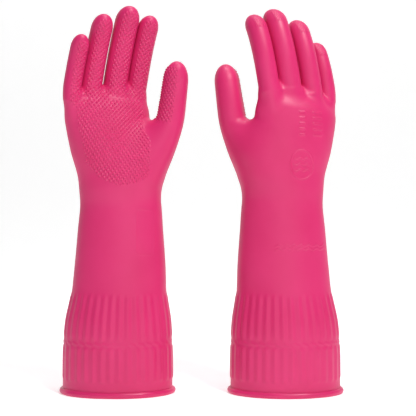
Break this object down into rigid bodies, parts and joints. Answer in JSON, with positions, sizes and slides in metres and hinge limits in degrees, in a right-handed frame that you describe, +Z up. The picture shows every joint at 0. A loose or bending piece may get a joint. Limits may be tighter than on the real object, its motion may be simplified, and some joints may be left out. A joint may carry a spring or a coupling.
{
  "type": "rubber gloves",
  "caption": "Long-cuff rubber household gloves standing on their rolled cuffs, with a grip-textured palm, a fluted gauntlet and bending fingers.",
  "frame": {"origin": "the middle of the pair's footprint, on the surface that the two cuffs stand on", "axes": "+X from the first glove to the second, +Y out of the back of the first glove's hand and out of the second glove's palm, +Z up to the fingertips"},
  "size_m": [0.285, 0.08, 0.3859],
  "materials": {
    "film": "satin",
    "bead": "satin",
    "flock": "matte flocked cotton"
  },
  "bodies": {
    "glove_a_gauntlet": {"glove_a_gauntlet": "film", "glove_a_cuff_bead": "bead", "glove_a_gauntlet_lining": "flock"},
    "glove_a_hand": {"glove_a_hand": "film", "glove_a_hand_lining": "flock"},
    "glove_a_thumb_root": {"glove_a_thumb_root": "film"},
    "glove_a_thumb_tip": {"glove_a_thumb_tip": "film"},
    "glove_a_index_root": {"glove_a_index_root": "film"},
    "glove_a_index_middle": {"glove_a_index_middle": "film"},
    "glove_a_index_tip": {"glove_a_index_tip": "film"},
    "glove_a_middle_root": {"glove_a_middle_root": "film"},
    "glove_a_middle_middle": {"glove_a_middle_middle": "film"},
    "glove_a_middle_tip": {"glove_a_middle_tip": "film"},
    "glove_a_ring_root": {"glove_a_ring_root": "film"},
    "glove_a_ring_middle": {"glove_a_ring_middle": "film"},
    "glove_a_ring_tip": {"glove_a_ring_tip": "film"},
    "glove_a_little_root": {"glove_a_little_root": "film"},
    "glove_a_little_middle": {"glove_a_little_middle": "film"},
    "glove_a_little_tip": {"glove_a_little_tip": "film"},
    "glove_b_gauntlet": {"glove_b_gauntlet": "film", "glove_b_cuff_bead": "bead", "glove_b_gauntlet_lining": "flock"},
    "glove_b_hand": {"glove_b_hand": "film", "glove_b_hand_lining": "flock"},
    "glove_b_thumb_root": {"glove_b_thumb_root": "film"},
    "glove_b_thumb_tip": {"glove_b_thumb_tip": "film"},
    "glove_b_index_root": {"glove_b_index_root": "film"},
    "glove_b_index_middle": {"glove_b_index_middle": "film"},
    "glove_b_index_tip": {"glove_b_index_tip": "film"},
    "glove_b_middle_root": {"glove_b_middle_root": "film"},
    "glove_b_middle_middle": {"glove_b_middle_middle": "film"},
    "glove_b_middle_tip": {"glove_b_middle_tip": "film"},
    "glove_b_ring_root": {"glove_b_ring_root": "film"},
    "glove_b_ring_middle": {"glove_b_ring_middle": "film"},
    "glove_b_ring_tip": {"glove_b_ring_tip": "film"},
    "glove_b_little_root": {"glove_b_little_root": "film"},
    "glove_b_little_middle": {"glove_b_little_middle": "film"},
    "glove_b_little_tip": {"glove_b_little_tip": "film"}
  },
  "joints": [
    {"name": "glove_a_wrist_flex", "type": "hinge", "parent": "glove_a_gauntlet", "child": "glove_a_hand", "pos_m": [-0.084, 0, 0.192], "axis": [1, 0, 0], "range_deg": [-40, 50], "stiffness_Nm_per_rad": 0.6},
    {"name": "glove_a_thumb_root_flex", "type": "hinge", "parent": "glove_a_hand", "child": "glove_a_thumb_root", "pos_m": [-0.02986, -0.00688, 0.27991], "axis": [0.9865, -0.0872, -0.1386], "range_deg": [-15, 40], "stiffness_Nm_per_rad": 0.03},
    {"name": "glove_a_thumb_tip_flex", "type": "hinge", "parent": "glove_a_thumb_root", "child": "glove_a_thumb_tip", "pos_m": [-0.02682, -0.00811, 0.30229], "axis": [0.9865, -0.0872, -0.1386], "range_deg": [0, 60], "stiffness_Nm_per_rad": 0.015},
    {"name": "glove_a_index_root_flex", "type": "hinge", "parent": "glove_a_hand", "child": "glove_a_index_root", "pos_m": [-0.06361, 0.01143, 0.31571], "axis": [0.9281, 0.342, -0.147], "range_deg": [-15, 65], "stiffness_Nm_per_rad": 0.03},
    {"name": "glove_a_index_middle_flex", "type": "hinge", "parent": "glove_a_index_root", "child": "glove_a_index_middle", "pos_m": [-0.0594, 0.01001, 0.33901], "axis": [0.9281, 0.342, -0.147], "range_deg": [0, 70], "stiffness_Nm_per_rad": 0.02},
    {"name": "glove_a_index_tip_flex", "type": "hinge", "parent": "glove_a_index_middle", "child": "glove_a_index_tip", "pos_m": [-0.05535, 0.00655, 0.35653], "axis": [0.9281, 0.342, -0.147], "range_deg": [0, 42], "stiffness_Nm_per_rad": 0.015},
    {"name": "glove_a_middle_root_flex", "type": "hinge", "parent": "glove_a_hand", "child": "glove_a_middle_root", "pos_m": [-0.08407, 0.00132, 0.3177], "axis": [0.9281, 0.342, -0.147], "range_deg": [-15, 65], "stiffness_Nm_per_rad": 0.03},
    {"name": "glove_a_middle_middle_flex", "type": "hinge", "parent": "glove_a_middle_root", "child": "glove_a_middle_middle", "pos_m": [-0.07947, -0.00022, 0.34317], "axis": [0.9281, 0.342, -0.147], "range_deg": [0, 70], "stiffness_Nm_per_rad": 0.02},
    {"name": "glove_a_middle_tip_flex", "type": "hinge", "parent": "glove_a_middle_middle", "child": "glove_a_middle_tip", "pos_m": [-0.07504, -0.00401, 0.36235], "axis": [0.9281, 0.342, -0.147], "range_deg": [0, 42], "stiffness_Nm_per_rad": 0.015},
    {"name": "glove_a_ring_root_flex", "type": "hinge", "parent": "glove_a_hand", "child": "glove_a_ring_root", "pos_m": [-0.10734, -0.00799, 0.31472], "axis": [0.9281, 0.342, -0.147], "range_deg": [-15, 65], "stiffness_Nm_per_rad": 0.03},
    {"name": "glove_a_ring_middle_flex", "type": "hinge", "parent": "glove_a_ring_root", "child": "glove_a_ring_middle", "pos_m": [-0.10327, -0.00934, 0.3373], "axis": [0.9281, 0.342, -0.147], "range_deg": [0, 70], "stiffness_Nm_per_rad": 0.02},
    {"name": "glove_a_ring_tip_flex", "type": "hinge", "parent": "glove_a_ring_middle", "child": "glove_a_ring_tip", "pos_m": [-0.09934, -0.01269, 0.35429], "axis": [0.9281, 0.342, -0.147], "range_deg": [0, 42], "stiffness_Nm_per_rad": 0.015},
    {"name": "glove_a_little_root_flex", "type": "hinge", "parent": "glove_a_hand", "child": "glove_a_little_root", "pos_m": [-0.1255, -0.01924, 0.30676], "axis": [0.9281, 0.342, -0.147], "range_deg": [-15, 65], "stiffness_Nm_per_rad": 0.03},
    {"name": "glove_a_little_middle_flex", "type": "hinge", "parent": "glove_a_little_root", "child": "glove_a_little_middle", "pos_m": [-0.12233, -0.02031, 0.3243], "axis": [0.9281, 0.342, -0.147], "range_deg": [0, 70], "stiffness_Nm_per_rad": 0.02},
    {"name": "glove_a_little_tip_flex", "type": "hinge", "parent": "glove_a_little_middle", "child": "glove_a_little_tip", "pos_m": [-0.11928, -0.02292, 0.33747], "axis": [0.9281, 0.342, -0.147], "range_deg": [0, 42], "stiffness_Nm_per_rad": 0.015},
    {"name": "glove_b_wrist_flex", "type": "hinge", "parent": "glove_b_gauntlet", "child": "glove_b_hand", "pos_m": [0.084, 0, 0.192], "axis": [-1, 0, 0], "range_deg": [-40, 50], "stiffness_Nm_per_rad": 0.6},
    {"name": "glove_b_thumb_root_flex", "type": "hinge", "parent": "glove_b_hand", "child": "glove_b_thumb_root", "pos_m": [0.02986, 0.00688, 0.27991], "axis": [-0.9865, 0.0872, -0.1386], "range_deg": [-15, 40], "stiffness_Nm_per_rad": 0.03},
    {"name": "glove_b_thumb_tip_flex", "type": "hinge", "parent": "glove_b_thumb_root", "child": "glove_b_thumb_tip", "pos_m": [0.02682, 0.00811, 0.30229], "axis": [-0.9865, 0.0872, -0.1386], "range_deg": [0, 60], "stiffness_Nm_per_rad": 0.015},
    {"name": "glove_b_index_root_flex", "type": "hinge", "parent": "glove_b_hand", "child": "glove_b_index_root", "pos_m": [0.06361, -0.01143, 0.31571], "axis": [-0.9281, -0.342, -0.147], "range_deg": [-15, 65], "stiffness_Nm_per_rad": 0.03},
    {"name": "glove_b_index_middle_flex", "type": "hinge", "parent": "glove_b_index_root", "child": "glove_b_index_middle", "pos_m": [0.0594, -0.01001, 0.33901], "axis": [-0.9281, -0.342, -0.147], "range_deg": [0, 70], "stiffness_Nm_per_rad": 0.02},
    {"name": "glove_b_index_tip_flex", "type": "hinge", "parent": "glove_b_index_middle", "child": "glove_b_index_tip", "pos_m": [0.05535, -0.00655, 0.35653], "axis": [-0.9281, -0.342, -0.147], "range_deg": [0, 42], "stiffness_Nm_per_rad": 0.015},
    {"name": "glove_b_middle_root_flex", "type": "hinge", "parent": "glove_b_hand", "child": "glove_b_middle_root", "pos_m": [0.08407, -0.00132, 0.3177], "axis": [-0.9281, -0.342, -0.147], "range_deg": [-15, 65], "stiffness_Nm_per_rad": 0.03},
    {"name": "glove_b_middle_middle_flex", "type": "hinge", "parent": "glove_b_middle_root", "child": "glove_b_middle_middle", "pos_m": [0.07947, 0.00022, 0.34317], "axis": [-0.9281, -0.342, -0.147], "range_deg": [0, 70], "stiffness_Nm_per_rad": 0.02},
    {"name": "glove_b_middle_tip_flex", "type": "hinge", "parent": "glove_b_middle_middle", "child": "glove_b_middle_tip", "pos_m": [0.07504, 0.00401, 0.36235], "axis": [-0.9281, -0.342, -0.147], "range_deg": [0, 42], "stiffness_Nm_per_rad": 0.015},
    {"name": "glove_b_ring_root_flex", "type": "hinge", "parent": "glove_b_hand", "child": "glove_b_ring_root", "pos_m": [0.10734, 0.00799, 0.31472], "axis": [-0.9281, -0.342, -0.147], "range_deg": [-15, 65], "stiffness_Nm_per_rad": 0.03},
    {"name": "glove_b_ring_middle_flex", "type": "hinge", "parent": "glove_b_ring_root", "child": "glove_b_ring_middle", "pos_m": [0.10327, 0.00934, 0.3373], "axis": [-0.9281, -0.342, -0.147], "range_deg": [0, 70], "stiffness_Nm_per_rad": 0.02},
    {"name": "glove_b_ring_tip_flex", "type": "hinge", "parent": "glove_b_ring_middle", "child": "glove_b_ring_tip", "pos_m": [0.09934, 0.01269, 0.35429], "axis": [-0.9281, -0.342, -0.147], "range_deg": [0, 42], "stiffness_Nm_per_rad": 0.015},
    {"name": "glove_b_little_root_flex", "type": "hinge", "parent": "glove_b_hand", "child": "glove_b_little_root", "pos_m": [0.1255, 0.01924, 0.30676], "axis": [-0.9281, -0.342, -0.147], "range_deg": [-15, 65], "stiffness_Nm_per_rad": 0.03},
    {"name": "glove_b_little_middle_flex", "type": "hinge", "parent": "glove_b_little_root", "child": "glove_b_little_middle", "pos_m": [0.12233, 0.02031, 0.3243], "axis": [-0.9281, -0.342, -0.147], "range_deg": [0, 70], "stiffness_Nm_per_rad": 0.02},
    {"name": "glove_b_little_tip_flex", "type": "hinge", "parent": "glove_b_little_middle", "child": "glove_b_little_tip", "pos_m": [0.11928, 0.02292, 0.33747], "axis": [-0.9281, -0.342, -0.147], "range_deg": [0, 42], "stiffness_Nm_per_rad": 0.015},
    {"name": "glove_b_set_apart", "type": "slide", "parent": "glove_a_gauntlet", "child": "glove_b_gauntlet", "axis": [1, 0, 0], "range_m": [0, 0.12]}
  ],
  "couplings": [
    {"joint": "glove_a_index_tip_flex", "follows": "glove_a_index_middle_flex", "ratio": 0.6},
    {"joint": "glove_a_middle_tip_flex", "follows": "glove_a_middle_middle_flex", "ratio": 0.6},
    {"joint": "glove_a_ring_tip_flex", "follows": "glove_a_ring_middle_flex", "ratio": 0.6},
    {"joint": "glove_a_little_tip_flex", "follows": "glove_a_little_middle_flex", "ratio": 0.6},
    {"joint": "glove_b_index_tip_flex", "follows": "glove_b_index_middle_flex", "ratio": 0.6},
    {"joint": "glove_b_middle_tip_flex", "follows": "glove_b_middle_middle_flex", "ratio": 0.6},
    {"joint": "glove_b_ring_tip_flex", "follows": "glove_b_ring_middle_flex", "ratio": 0.6},
    {"joint": "glove_b_little_tip_flex", "follows": "glove_b_little_middle_flex", "ratio": 0.6}
  ]
}
